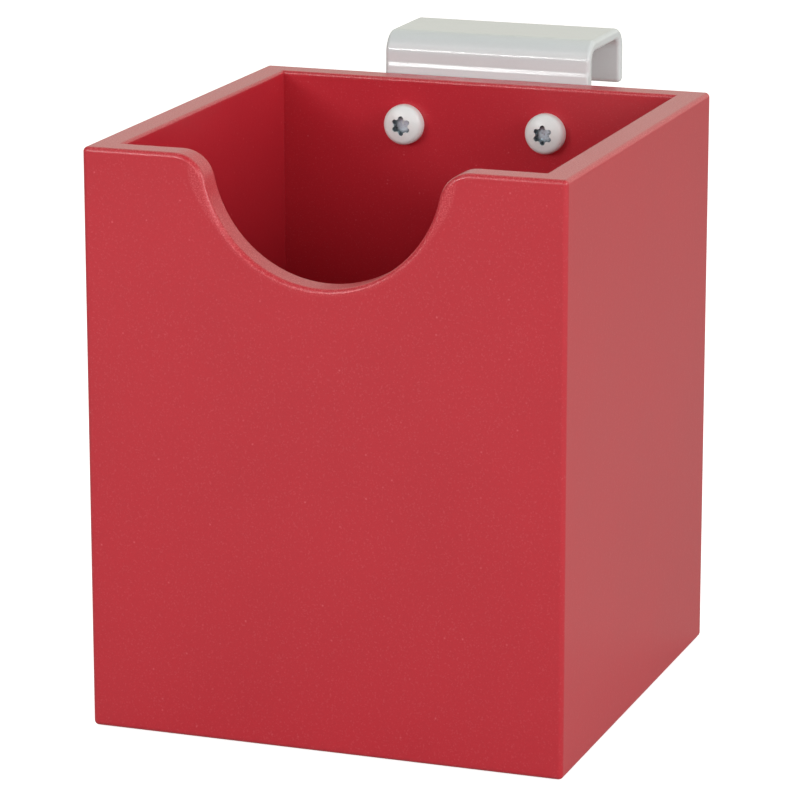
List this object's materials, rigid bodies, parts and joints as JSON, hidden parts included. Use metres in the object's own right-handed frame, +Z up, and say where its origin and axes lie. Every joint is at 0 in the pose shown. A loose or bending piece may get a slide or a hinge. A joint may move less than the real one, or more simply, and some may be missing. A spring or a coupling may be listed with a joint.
{
  "type": "hanging storage box",
  "caption": "Open-topped box of lacquered board with a half-round finger notch in its front rim, hung from a rail by a bent steel hook on its back wall.",
  "frame": {"origin": "centre of the box's underside", "axes": "+Z up out of the open top, +Y towards the hook, +X to the right seen from the notched front"},
  "size_m": [0.1302, 0.1616, 0.1672],
  "materials": {
    "box_lacquer": "satin sprayed lacquer on fibreboard",
    "pin_steel": "bright drawn wire",
    "hook_coating": "glossy powder coat",
    "screw_coating": "glossy powder coat, chipped to bare steel in the socket"
  },
  "bodies": {
    "root": {"front_panel": "box_lacquer", "back_panel": "box_lacquer", "left_side_panel": "box_lacquer", "right_side_panel": "box_lacquer", "bottom_panel": "box_lacquer", "corner_pins": "pin_steel", "bottom_pins": "pin_steel", "hanging_hook": "hook_coating", "hook_screw_left": "screw_coating", "hook_screw_right": "screw_coating"}
  },
  "joints": []
}
